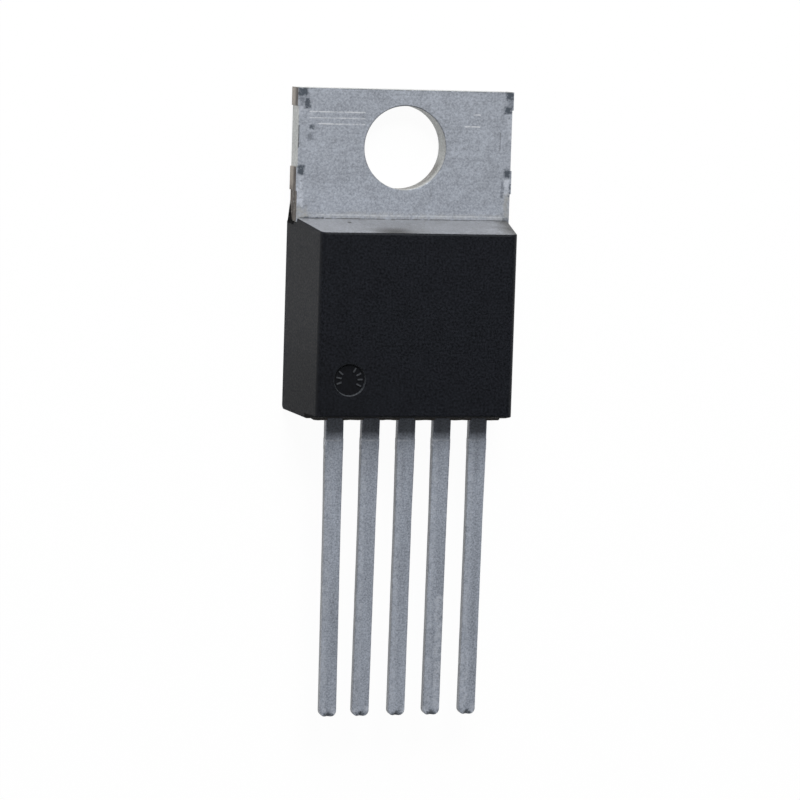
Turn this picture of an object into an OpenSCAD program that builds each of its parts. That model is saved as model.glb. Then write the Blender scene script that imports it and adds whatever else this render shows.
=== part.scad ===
// Five-lead power voltage regulator: a copper header with a mounting tab, a moulded epoxy body,
// five flat leads, and the chip and bond wires sealed inside.
// Lying on its back. Z = 0 is the heatsink face, +Z points out of the marked front, +Y towards
// the tab's free edge, and the origin is on the mounting hole's axis. Millimetres.

/* [Tab] */
// Width of the mounting tab
tab_w = 10.16; // [9.6:0.01:10.3]
// Thickness of the header plate
tab_t = 1.27; // [1:0.01:1.5]
// Diameter of the mounting hole
hole_d = 3.86; // [3.4:0.01:4.2]
// From the hole's axis to the tab's free edge
hole_to_edge = 2.67; // [2.4:0.01:3.4]
// From the hole's axis to the moulded body, on the tab's front face
hole_to_body = 3.31; // [3:0.01:4]
// Width of the punched roll round the hole's front rim
hole_roll = 0.05; // [0.02:0.01:0.1]
// How far the sheared tie bars stand proud of the tab's sides
tie_proud = 0.05; // [0.02:0.01:0.06]
// Height of the sheared tie bar at the tab's free edge
upper_tie_h = 0.84; // [0.4:0.01:1.2]
// From the hole's axis down to the top of the lower sheared tie bar
lower_tie_drop = 0.97; // [0.6:0.01:1.2]
// Height of the lower sheared tie bar
lower_tie_h = 1.08; // [0.6:0.01:1.3]

/* [Header under the mould] */
// Length of the header plate, from the tab's free edge
header_l = 12.5; // [11.8:0.05:12.9]
// How far the header plate steps in, each side, inside the mould
neck_inset = 0.88; // [0.7:0.02:1.2]
// How far its back steps in further, each side, so that the mould wraps under it
neck_undercut = 0.3; // [0.15:0.05:0.5]
// Thickness of that narrower back
neck_back_t = 0.5; // [0.3:0.05:0.8]
// Length of tab shoulder that the mould covers
shoulder_cover = 0.19; // [0.1:0.01:0.4]
// Width of the groove that locks the mould to the plate
groove_w = 0.32; // [0.2:0.02:0.5]
// Depth of that groove
groove_depth = 0.14; // [0.08:0.01:0.25]
// From the mould's top edge to that groove's middle line
groove_drop = 0.75; // [0.5:0.05:1.1]

/* [Moulded body] */
// How far the body stands out past each side of the tab
side_wrap = 0.12; // [0.1:0.01:0.3]
// Length of the body, top edge at the tab to bottom edge at the leads
body_l = 9.02; // [8.8:0.01:9.6]
// Thickness of the body, from the heatsink face to the front face
body_t = 4.5; // [4.2:0.01:4.9]
// Draft angle of the top face
top_draft = 7.2; // [3:0.1:10]
// Draft angle of the side faces
side_draft = 7.7; // [6:0.1:10]
// Draft angle of the bottom face, in front of the leads
bottom_draft = 8.5; // [3:0.1:10]
// Draft angle of the bottom face, behind the leads
back_draft = 1.6; // [1:0.1:6]
// Radius of the front face's top and bottom edges
edge_r = 0.12; // [0.05:0.01:0.3]
// Radius of the front face's side edges
side_edge_r = 0.2; // [0.05:0.01:0.5]
// Radius of the back's lower edge
back_edge_r = 0.15; // [0.05:0.01:0.3]
// How far the mould creeps up each side of the tab
creep_l = 0.8; // [0.3:0.05:1.2]
// How high that creep reaches up from the heatsink face
creep_t = 0.75; // [0.4:0.05:0.8]
// How far that creep stands proud of the tab's side
creep_proud = 0.09; // [0.05:0.01:0.1]
// From the body's sides to the ends of the flash lip along the leads
lip_inset = 0.35; // [0.2:0.05:0.6]
// How far the flash lip stands proud
lip_proud = 0.1; // [0.04:0.01:0.2]
// Diameter of the round ejector recess in the front face
recess_d = 1.5; // [1:0.05:2]
// Depth of that recess
recess_depth = 0.12; // [0.05:0.01:0.3]
// From the front face's edge on the first lead's side to the recess's axis
recess_inset = 1.48; // [1.2:0.02:3]
// From the body's bottom edge up to the recess's axis
recess_rise = 1.92; // [1.4:0.01:6]

/* [Leads] */
// Spacing of the leads
lead_spacing = 1.7; // [1.65:0.01:1.75]
// Thickness of the lead stock
lead_t = 0.42; // [0.36:0.01:0.6]
// Height of the leads' back faces above the heatsink face
lead_z = 2.57; // [2.3:0.01:2.9]
// Free length of the leads, below the body
lead_l = 13.89; // [13:0.01:14.5]
// Width of the leads
lead_w = 0.76; // [0.6:0.01:0.8]
// Width of the leads' roots
root_w = 0.82; // [0.82:0.01:0.95]
// Length of the leads' wider roots
root_l = 2.1; // [1.7:0.05:3]
// Length of the taper from root to lead
taper_l = 1.1; // [0.5:0.05:2]
// From the body to the sheared dam bar
dam_drop = 0.95; // [0.6:0.05:1.1]
// Height of the sheared dam bar
dam_h = 0.52; // [0.3:0.02:0.58]
// How far the sheared dam bar stands proud of the root
dam_proud = 0.02; // [0.01:0.01:0.05]
// Radius of the corners at the tips
tip_r = 0.28; // [0.1:0.01:0.29]
// Width of the cut-off notch in the middle of each tip
tip_notch_w = 0.26; // [0.15:0.01:0.35]
// Length of that notch
tip_notch_l = 0.16; // [0.08:0.01:0.25]
// Depth of that notch
tip_notch_depth = 0.16; // [0.08:0.01:0.25]
// How far each lead's tip has been bent sideways, first lead to fifth
tip_drift = [0.05, -0.09, -0.08, -0.09, -0.11];

/* [Lead frame inside] */
// Width of the bonding pads on the leads
pad_w = 1.3; // [1:0.02:1.34]
// Length of the bonding pads
pad_l = 1.55; // [1.3:0.05:1.65]
// Depth of the bonding pads' lower edge inside the body
pad_cover = 0.75; // [0.5:0.05:0.9]
// Length over which a pad narrows to its lead
pad_taper = 0.25; // [0.1:0.05:0.4]
// From the header's lower edge to the top of the centre lead's slope
joggle_start = 0.25; // [0.1:0.05:0.4]
// Length of the centre lead's slope up to the other leads
joggle_l = 1.5; // [1.3:0.05:1.6]
// Width of the centre lead where it joins the header
centre_root_w = 1.1; // [0.9:0.05:1.2]

/* [Chip] */
// Width of the chip
die_w = 3.8; // [3.6:0.05:4.6]
// Length of the chip
die_l = 2.8; // [2:0.05:3.2]
// Thickness of the chip
die_t = 0.28; // [0.2:0.01:0.36]
// From the header's lower edge to the chip's lower edge
die_rise = 1.25; // [1.15:0.05:1.5]
// Thickness of the solder under the chip
solder_t = 0.05; // [0.03:0.01:0.1]
// Width of the solder's margin round the chip
solder_margin = 0.15; // [0.05:0.01:0.2]

/* [Bond wires] */
// Diameter of the wires
wire_d = 0.2; // [0.12:0.01:0.22]
// Half of the angle that a wire's arch turns through
arch_angle = 58; // [52:1:65]
// Spacing of the wires on the chip
wire_spacing = 0.5; // [0.42:0.01:0.54]
// Spacing of a pair of wires on one bonding pad
pair_spacing = 0.56; // [0.46:0.01:0.6]
// From the chip's lower edge to the feet on it
die_foot_inset = 0.45; // [0.4:0.01:0.6]
// From a bonding pad's top edge to the feet on it
pad_foot_inset = 0.48; // [0.42:0.01:0.6]
// From the header's lower edge to the ground wire's foot
ground_foot_rise = 0.5; // [0.45:0.01:0.55]

/* [Hidden] */
$fn = 64;

// Flats in each rounded corner of an outline
corner_steps = 6;
// Extra length of cutting shapes past the surface that they cut
past = 1;
// Flattened foot of a wedge-bonded wire, from the wire's diameter
foot_t = 0.6 * wire_d;
foot_w = 1.3 * wire_d;
foot_l = 1.6 * wire_d;
// Diameter of the recess's floor, from the draft of its wall
recess_floor_d = recess_d - 2 * recess_depth * tan(20);

tab_edge_y = hole_to_edge;
header_end_y = tab_edge_y - header_l;
body_top_y = -hole_to_body;
shoulder_y = body_top_y - shoulder_cover;
body_bottom_y = body_top_y - body_l;
front_top_y = body_top_y - (body_t - tab_t) * tan(top_draft);
lead_front_z = lead_z + lead_t;
front_bottom_y = body_bottom_y + (body_t - lead_front_z) * tan(bottom_draft);
back_bottom_y = body_bottom_y + lead_front_z * tan(back_draft);
body_w = tab_w + 2 * side_wrap;
front_half_w = body_w / 2 - body_t * tan(side_draft);
neck_w = tab_w - 2 * neck_inset;
neck_back_w = neck_w - 2 * neck_undercut;
lip_half_w = body_w / 2 - lead_front_z * tan(side_draft) - lip_inset;
pad_bottom_y = body_bottom_y + pad_cover;
pad_top_y = pad_bottom_y + pad_l;
tip_y = body_bottom_y - lead_l;
joggle_top_y = header_end_y - joggle_start;
die_top_z = tab_t + solder_t + die_t;
die_bottom_y = header_end_y + die_rise;
die_foot_y = die_bottom_y + die_foot_inset;
pad_foot_y = pad_top_y - pad_foot_inset;
centre = 2;

plating = [0.62, 0.64, 0.67];
epoxy = [0.12, 0.13, 0.14];
silicon = [0.32, 0.34, 0.42];
solder = [0.55, 0.55, 0.57];
aluminium = [0.8, 0.8, 0.82];

function lead_x(i) = (i - centre) * lead_spacing;
function unit(v) = v / norm(v);
function turned(v, angle) =
    [v.x * cos(angle) - v.y * sin(angle), v.x * sin(angle) + v.y * cos(angle)];

// Points of a round corner of radius r at b, between the lines to a and c
function corner(a, b, c, r) =
    let (
        u = unit(a - b),
        v = unit(c - b),
        half = acos(u * v) / 2,
        middle = b + unit(u + v) * r / sin(half),
        from = b + u * r / tan(half) - middle,
        to = b + v * r / tan(half) - middle,
        sweep = (180 - 2 * half) * sign(cross(from, to))
    )
    [for (k = [0 : corner_steps]) middle + turned(from, sweep * k / corner_steps)];

// An outline from corners given as [x, y, radius]
function rounded(path) = [
    for (k = [0 : len(path) - 1])
        let (
            n = len(path),
            a = path[(k + n - 1) % n],
            b = path[k],
            c = path[(k + 1) % n]
        )
        each b[2] > 0
            ? corner([a.x, a.y], [b.x, b.y], [c.x, c.y], b[2])
            : [[b.x, b.y]]
];

// Extrudes a (Y, Z) outline along X
module along_x(x0, x1) {
    translate([x0, 0, 0]) rotate([90, 0, 90]) linear_extrude(x1 - x0) children();
}

// Extrudes an (X, Z) outline along Y
module along_y(y0, y1) {
    translate([0, y1, 0]) rotate([90, 0, 0]) linear_extrude(y1 - y0) children();
}

// Right-hand and left-hand copies
module both_sides() {
    children();
    mirror([1, 0, 0]) children();
}

// Half width of a lead at height y, and its middle line, bent sideways below the body
function bend(i, y) = tip_drift[i] * max(0, body_bottom_y - y) / lead_l;

// One side of a lead's outline below the body, top to bottom; side is -1 or 1
function lead_side(i, side) = [
    for (p = [
        [body_bottom_y - dam_drop, root_w / 2, 0],
        [body_bottom_y - dam_drop, root_w / 2 + dam_proud, 0],
        [body_bottom_y - dam_drop - dam_h, root_w / 2 + dam_proud, 0],
        [body_bottom_y - dam_drop - dam_h, root_w / 2, 0],
        [body_bottom_y - root_l, root_w / 2, 0],
        [body_bottom_y - root_l - taper_l, lead_w / 2, 0],
        [tip_y, lead_w / 2, tip_r]
    ])
    [lead_x(i) + bend(i, p[0]) + side * p[1], p[0], p[2]]
];

// One side of a lead's outline inside the body, top to bottom
function inner_side(i, side, top_y, top_w) = [
    [lead_x(i) + side * top_w / 2, top_y, 0],
    [lead_x(i) + side * top_w / 2, pad_bottom_y, 0],
    [lead_x(i) + side * root_w / 2, pad_bottom_y - pad_taper, 0]
];

function reversed(list) = [for (k = [len(list) - 1 : -1 : 0]) list[k]];

module lead_outline(i, top_y, top_w) {
    polygon(rounded(concat(
        inner_side(i, -1, top_y, top_w),
        lead_side(i, -1),
        reversed(lead_side(i, 1)),
        reversed(inner_side(i, 1, top_y, top_w))
    )));
}

// Slanted notch left where a lead was cut off its strip
module tip_notch(i) {
    slope = tip_notch_depth / tip_notch_l;
    x = lead_x(i) + bend(i, tip_y);
    along_x(x - tip_notch_w / 2, x + tip_notch_w / 2) polygon([
        [tip_y + tip_notch_l, lead_front_z],
        [tip_y - past, lead_front_z - tip_notch_depth - past * slope],
        [tip_y - past, lead_front_z + past],
        [tip_y + tip_notch_l, lead_front_z + past]
    ]);
}

// A lead with its bonding pad
module outer_lead(i) {
    color(plating) difference() {
        translate([0, 0, lead_z]) linear_extrude(lead_t) lead_outline(i, pad_top_y, pad_w);
        tip_notch(i);
    }
}

// The centre lead, which slopes down to the header and is one piece with it
module centre_lead() {
    lead_back = [lead_z, tab_t - lead_t];
    difference() {
        intersection() {
            linear_extrude(body_t) lead_outline(centre, header_end_y + past, centre_root_w);
            along_x(-body_w / 2, body_w / 2) polygon([
                [tip_y - past, lead_z],
                [joggle_top_y - joggle_l, lead_z],
                [joggle_top_y, tab_t - lead_t],
                [header_end_y, tab_t - lead_t],
                [header_end_y, tab_t],
                [joggle_top_y, tab_t],
                [joggle_top_y - joggle_l, lead_front_z],
                [tip_y - past, lead_front_z]
            ]);
        }
        tip_notch(centre);
    }
}

// Tab, shoulders and the narrower plate that carries the chip
module header_plate() {
    difference() {
        union() {
            translate([-tab_w / 2, shoulder_y, 0])
                cube([tab_w, tab_edge_y - shoulder_y, tab_t]);
            translate([-neck_back_w / 2, header_end_y, 0])
                cube([neck_back_w, shoulder_y - header_end_y, tab_t]);
            translate([-neck_w / 2, header_end_y, neck_back_t])
                cube([neck_w, shoulder_y - header_end_y, tab_t - neck_back_t]);
        }
        along_x(-neck_w / 2 - past, neck_w / 2 + past) polygon([
            [body_top_y - groove_drop - groove_w / 2, tab_t],
            [body_top_y - groove_drop, tab_t - groove_depth],
            [body_top_y - groove_drop + groove_w / 2, tab_t]
        ]);
    }
}

// Stubs of the tie bars that held the tab in its strip
module tie_stubs() {
    both_sides() {
        translate([tab_w / 2, tab_edge_y - upper_tie_h, 0])
            cube([tie_proud, upper_tie_h, tab_t]);
        translate([tab_w / 2, -lower_tie_drop - lower_tie_h, 0])
            cube([tie_proud, lower_tie_h, tab_t]);
    }
}

module mounting_hole() {
    translate([0, 0, -past]) cylinder(d = hole_d, h = tab_t + 2 * past);
    translate([0, 0, tab_t - hole_roll])
        cylinder(d1 = hole_d, d2 = hole_d + 2 * hole_roll, h = hole_roll);
}

module tab_header() {
    color(plating) union() {
        difference() {
            union() {
                header_plate();
                tie_stubs();
            }
            mounting_hole();
        }
        centre_lead();
    }
}

module die_solder() {
    color(solder)
        translate([-die_w / 2 - solder_margin, die_bottom_y - solder_margin, tab_t])
            cube([die_w + 2 * solder_margin, die_l + 2 * solder_margin, solder_t]);
}

module die() {
    color(silicon)
        translate([-die_w / 2, die_bottom_y, tab_t + solder_t]) cube([die_w, die_l, die_t]);
}

// Flattened foot of a wire, with round ends
module wire_foot() {
    translate([-foot_l / 2, -foot_w / 2, 0]) cube([foot_l, foot_w, foot_t]);
    for (end = [-1, 1]) translate([end * foot_l / 2, 0, 0]) cylinder(d = foot_w, h = foot_t);
}

// A wire that stands on two surfaces, at points a and b, and arches between them
module bond_wire(a, b) {
    heading = atan2(b.y - a.y, b.x - a.x);
    span = norm([b.x - a.x, b.y - a.y]);
    rise = b.z - a.z;
    chord = norm([span, rise]);
    tilt = atan2(rise, span);
    arch_r = chord / (2 * sin(arch_angle));
    drop = arch_r * cos(arch_angle);
    color(aluminium) translate(a) rotate([0, 0, heading]) union() {
        wire_foot();
        translate([span, 0, rise]) wire_foot();
        translate([span / 2 + drop * sin(tilt), 0, rise / 2 + foot_t - drop * cos(tilt)])
            rotate([90, 0, 0])
                rotate([0, 0, 90 + tilt - arch_angle])
                    rotate_extrude(angle = 2 * arch_angle)
                        translate([arch_r, 0]) circle(d = wire_d);
    }
}

// Where a wire stands on the chip; the slots count from the middle
function die_foot(slot) = [slot * wire_spacing, die_foot_y, die_top_z];
// Where a wire stands on a lead's bonding pad, shift from the lead's middle line
function pad_foot(i, shift) = [lead_x(i) + shift, pad_foot_y, lead_front_z];

module wire_enable() { bond_wire(die_foot(-3), pad_foot(0, 0)); }
module wire_input_a() { bond_wire(die_foot(-2), pad_foot(1, -pair_spacing / 2)); }
module wire_input_b() { bond_wire(die_foot(-1), pad_foot(1, pair_spacing / 2)); }
module wire_ground() { bond_wire(die_foot(0), [0, header_end_y + ground_foot_rise, tab_t]); }
module wire_output_a() { bond_wire(die_foot(1), pad_foot(3, -pair_spacing / 2)); }
module wire_output_b() { bond_wire(die_foot(2), pad_foot(3, pair_spacing / 2)); }
module wire_flag() { bond_wire(die_foot(3), pad_foot(4, 0)); }

// Everything that the epoxy is moulded round
module moulded_in() {
    header_plate();
    centre_lead();
    for (i = [0, 1, 3, 4]) outer_lead(i);
    die_solder();
    die();
    wire_enable();
    wire_input_a();
    wire_input_b();
    wire_ground();
    wire_output_a();
    wire_output_b();
    wire_flag();
}

// Drafted block of the body
module mould_block() {
    intersection() {
        along_x(-body_w / 2 - past, body_w / 2 + past) polygon(rounded([
            [shoulder_y, 0, 0],
            [shoulder_y, tab_t, 0],
            [body_top_y, tab_t, 0],
            [front_top_y, body_t, edge_r],
            [front_bottom_y, body_t, edge_r],
            [body_bottom_y, lead_front_z, 0],
            [back_bottom_y, 0, back_edge_r]
        ]));
        along_y(body_bottom_y - past, body_top_y + past) polygon(rounded([
            [-body_w / 2, 0, 0],
            [-front_half_w, body_t, side_edge_r],
            [front_half_w, body_t, side_edge_r],
            [body_w / 2, 0, 0]
        ]));
    }
}

// Flash lip at the parting line, between and beside the leads
module flash_lip() {
    translate([-lip_half_w, body_bottom_y - lip_proud, lead_z])
        cube([2 * lip_half_w, lip_proud + lead_t * tan(back_draft) + edge_r, lead_t]);
}

// Thin wedge of epoxy that crept up beside the tab
module creep() {
    x = tab_w / 2;
    intersection() {
        along_x(x, x + creep_proud) polygon([
            [shoulder_y + creep_l, 0], [shoulder_y, creep_t], [shoulder_y, 0]
        ]);
        linear_extrude(creep_t) polygon([
            [x, shoulder_y + creep_l], [x, shoulder_y], [x + creep_proud, shoulder_y]
        ]);
        along_y(shoulder_y, shoulder_y + creep_l) polygon([
            [x, 0], [body_w / 2, 0], [body_w / 2 - creep_t * tan(side_draft), creep_t],
            [x, creep_t]
        ]);
    }
}

// Shallow round mark of the ejector pin
module ejector_recess() {
    translate([recess_inset - front_half_w, body_bottom_y + recess_rise, body_t - recess_depth])
        cylinder(d1 = recess_floor_d, d2 = recess_d, h = recess_depth);
}

module mould_body() {
    color(epoxy) difference() {
        union() {
            mould_block();
            flash_lip();
            both_sides() creep();
        }
        moulded_in();
        ejector_recess();
    }
}

mould_body();
tab_header();
outer_lead(0);  // lead_1
outer_lead(1);  // lead_2
outer_lead(3);  // lead_4
outer_lead(4);  // lead_5
die_solder();
die();
wire_enable();
wire_input_a();
wire_input_b();
wire_ground();
wire_output_a();
wire_output_b();
wire_flag();
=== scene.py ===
"""Looks of a five-lead power voltage regulator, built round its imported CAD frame.

The part lies on its back: Z = 0 is the heatsink face, +Z comes out of the front and +Y runs
towards the tab's free edge, with the origin on the mounting hole's axis. Sizes are in millimetres
until a mesh is finished, and in metres from there on.
"""

from __future__ import annotations

import logging
import math
from collections.abc import Callable, Iterable, Mapping, Sequence
from dataclasses import dataclass
from enum import Enum, IntEnum

import bmesh
import bpy
from mathutils import Matrix, Vector, noise


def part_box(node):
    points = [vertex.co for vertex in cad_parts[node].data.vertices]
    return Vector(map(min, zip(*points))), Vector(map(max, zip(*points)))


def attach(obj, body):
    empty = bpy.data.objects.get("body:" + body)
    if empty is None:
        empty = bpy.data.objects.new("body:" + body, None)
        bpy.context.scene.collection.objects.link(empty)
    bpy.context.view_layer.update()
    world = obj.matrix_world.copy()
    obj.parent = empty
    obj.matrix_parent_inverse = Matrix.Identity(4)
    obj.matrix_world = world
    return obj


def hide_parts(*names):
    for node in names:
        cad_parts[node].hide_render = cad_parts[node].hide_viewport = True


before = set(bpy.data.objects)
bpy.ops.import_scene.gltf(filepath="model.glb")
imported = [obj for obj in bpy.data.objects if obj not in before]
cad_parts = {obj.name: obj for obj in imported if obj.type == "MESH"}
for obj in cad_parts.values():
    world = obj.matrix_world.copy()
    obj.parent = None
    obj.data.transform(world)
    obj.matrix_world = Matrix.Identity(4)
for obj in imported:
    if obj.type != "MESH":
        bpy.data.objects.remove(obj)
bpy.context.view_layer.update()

log = logging.getLogger("voltage_regulator")

METRES = 0.001
PER_METRE = 1000.0
BODY = "root"

Point = tuple[float, float]
Place = tuple[float, float, float]
Colour = tuple[float, float, float]
Loop = list[Vector]
Socket = bpy.types.NodeSocket

# Steps that round shapes are made with

CORNER_STEPS = 4
CORNER_SPOKES = 4
TIP_STEPS = 9
ROLL_STEPS = 5
EDGE_STEPS = 7
LIP_STEPS = 46
RECESS_SIDES = 72

# How far joined solids reach into each other, cutters reach past, and steps are kept apart

LAP = 0.1
PAST = 1.0
EDGE_GAP = 0.004
STUB_DIP = 0.004
TOP_REACH = 0.02
LEAST_RADIUS = 0.01
TINY = 1e-9

# What counts as level, sharp, wide and one point when a piece is shaded

LEVEL_DEGREES = 0.15
SHARP_DEGREES = 38.0
WIDE_FACE = 0.055
WELD = 0.0005


class Slot(Enum):
    """The record's material slots."""

    MOULD = "mould_epoxy"
    HEADER = "tinned_header"
    LEAD = "tinned_lead"
    SOLDER = "soft_solder"
    CHIP = "silicon_die"
    WIRE = "bond_aluminium"


class Side(Enum):
    """The two sides of the part, as seen from its front."""

    LEFT = -1
    RIGHT = 1


class Join(Enum):
    """What a boolean step does with its second solid."""

    ADD = "UNION"
    CUT = "DIFFERENCE"


class Skin(IntEnum):
    """The mould's finishes, by their place among its materials."""

    PLAIN = 0
    TOP = 1
    TICK = 2
    FLASH = 3


# Lengths read from the frame


@dataclass(frozen=True)
class FrameBox:
    """A CAD node's box in millimetres."""

    low: Vector
    high: Vector

    @classmethod
    def of(cls, node: str) -> FrameBox:
        """Reads a node's box from the frame."""
        low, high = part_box(node)
        return cls(low * PER_METRE, high * PER_METRE)

    @property
    def centre(self) -> Vector:
        """The middle of the box."""
        return (self.low + self.high) / 2


# Mesh work


def finished(bm: bmesh.types.BMesh, name: str) -> bpy.types.Object:
    """Turns a millimetre mesh into an object of the scene.

    Args:
        bm: The mesh, which is freed.
        name: The object's name.

    Returns:
        The object, in metres, with its faces turned outwards.
    """
    bmesh.ops.recalc_face_normals(bm, faces=bm.faces)
    bmesh.ops.transform(bm, matrix=Matrix.Scale(METRES, 4), verts=bm.verts)
    mesh = bpy.data.meshes.new(name)
    bm.to_mesh(mesh)
    bm.free()
    piece = bpy.data.objects.new(name, mesh)
    bpy.context.scene.collection.objects.link(piece)
    return piece


def loft(loops: Sequence[Loop], closed: bool = False) -> bmesh.types.BMesh:
    """Skins a row of loops that have the same number of points.

    Args:
        loops: The loops, one after another.
        closed: Whether the last loop joins the first, instead of a face on each.

    Returns:
        The mesh, in millimetres.
    """
    bm = bmesh.new()
    rows = [[bm.verts.new(point) for point in loop] for loop in loops]
    pairs = list(zip(rows, rows[1:]))
    if closed:
        pairs.append((rows[-1], rows[0]))
    for low, high in pairs:
        for i in range(len(low)):
            j = (i + 1) % len(low)
            bm.faces.new((low[i], low[j], high[j], high[i]))
    if not closed:
        bm.faces.new(list(reversed(rows[0])))
        bm.faces.new(rows[-1])
    return bm


def prism(outline: Sequence[Point], low: float, high: float) -> bmesh.types.BMesh:
    """Extrudes an (X, Y) outline between two heights."""
    return loft([[Vector((x, y, z)) for x, y in outline] for z in (low, high)])


def block(low: Place, high: Place) -> bmesh.types.BMesh:
    """Makes a block between two corners."""
    outline = [(low[0], low[1]), (high[0], low[1]), (high[0], high[1]), (low[0], high[1])]
    return prism(outline, low[2], high[2])


def combined(base: bpy.types.Object, others: Iterable[bpy.types.Object], how: Join,
             keep: bool = False) -> bpy.types.Object:
    """Adds solids to a piece, or cuts them out of it.

    Args:
        base: The piece that changes.
        others: The solids.
        how: Whether they are added or cut out.
        keep: Whether the solids stay in the scene.

    Returns:
        The changed piece.
    """
    solids = list(others)
    for solid in solids:
        step = base.modifiers.new(how.name.lower(), "BOOLEAN")
        step.object = solid
        step.operation = how.value
        step.solver = "EXACT"
    graph = bpy.context.evaluated_depsgraph_get()
    mesh = bpy.data.meshes.new_from_object(base.evaluated_get(graph))
    old = base.data
    base.modifiers.clear()
    base.data = mesh
    bpy.data.meshes.remove(old)
    if not keep:
        for solid in solids:
            bpy.data.objects.remove(solid)
    return base


def shaded(piece: bpy.types.Object) -> None:
    """Shades wide faces flat and lets the narrow ones between them round the edges off.

    Args:
        piece: The piece, which is cleaned up first.
    """
    bm = bmesh.new()
    bm.from_mesh(piece.data)
    bmesh.ops.remove_doubles(bm, verts=bm.verts, dist=WELD * METRES)
    bmesh.ops.dissolve_degenerate(bm, edges=bm.edges, dist=WELD * METRES)
    bmesh.ops.dissolve_limit(bm, angle_limit=math.radians(LEVEL_DEGREES), verts=bm.verts,
                             edges=bm.edges)
    bm.faces.ensure_lookup_table()
    wide = {face for face in bm.faces if face_width(face) > WIDE_FACE * METRES}
    normals = []
    for face in bm.faces:
        face.smooth = True
        for loop in face.loops:
            normals.append(corner_normal(face, loop.vert, wide))
    bm.to_mesh(piece.data)
    bm.free()
    piece.data.normals_split_custom_set(normals)


def face_width(face: bmesh.types.BMFace) -> float:
    """Width of a face, taken as a long strip."""
    return 2 * face.calc_area() / face.calc_perimeter()


def corner_normal(face: bmesh.types.BMFace, vert: bmesh.types.BMVert,
                  wide: set[bmesh.types.BMFace]) -> Vector:
    """Normal of one corner of a face.

    Args:
        face: The face.
        vert: The corner.
        wide: The faces that stay flat.

    Returns:
        The face's own normal if it is wide, otherwise that of the wide face it rolls into, or the
        mean of the faces round the corner that aren't across a sharp edge.
    """
    if face in wide:
        return face.normal.copy()
    limit = math.cos(math.radians(SHARP_DEGREES))
    near = [other for other in vert.link_faces if other.normal.dot(face.normal) > limit]
    flat = [other for other in near if other in wide]
    if flat:
        return max(flat, key=lambda other: other.normal.dot(face.normal)).normal.copy()
    total = sum((other.normal * other.calc_area() for other in near), Vector())
    return total.normalized() if total.length > 0 else face.normal.copy()


def seated(piece: bpy.types.Object, materials: Iterable[bpy.types.Material],
           nodes: Iterable[str], pick: Callable[[bpy.types.MeshPolygon], int] | None = None) -> None:
    """Gives a piece its finishes and its body, and hides the CAD nodes that it stands for.

    Args:
        piece: The finished piece.
        materials: Its finishes.
        nodes: The CAD nodes that it stands for.
        pick: Picks a face's finish by number, or none if there is only one finish.
    """
    for material in materials:
        piece.data.materials.append(material)
    for face in piece.data.polygons:
        face.material_index = pick(face) if pick else 0
    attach(piece, BODY)
    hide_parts(*nodes)
    log.info("%s: %d faces", piece.name, len(piece.data.polygons))


# Shader nodes


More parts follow.
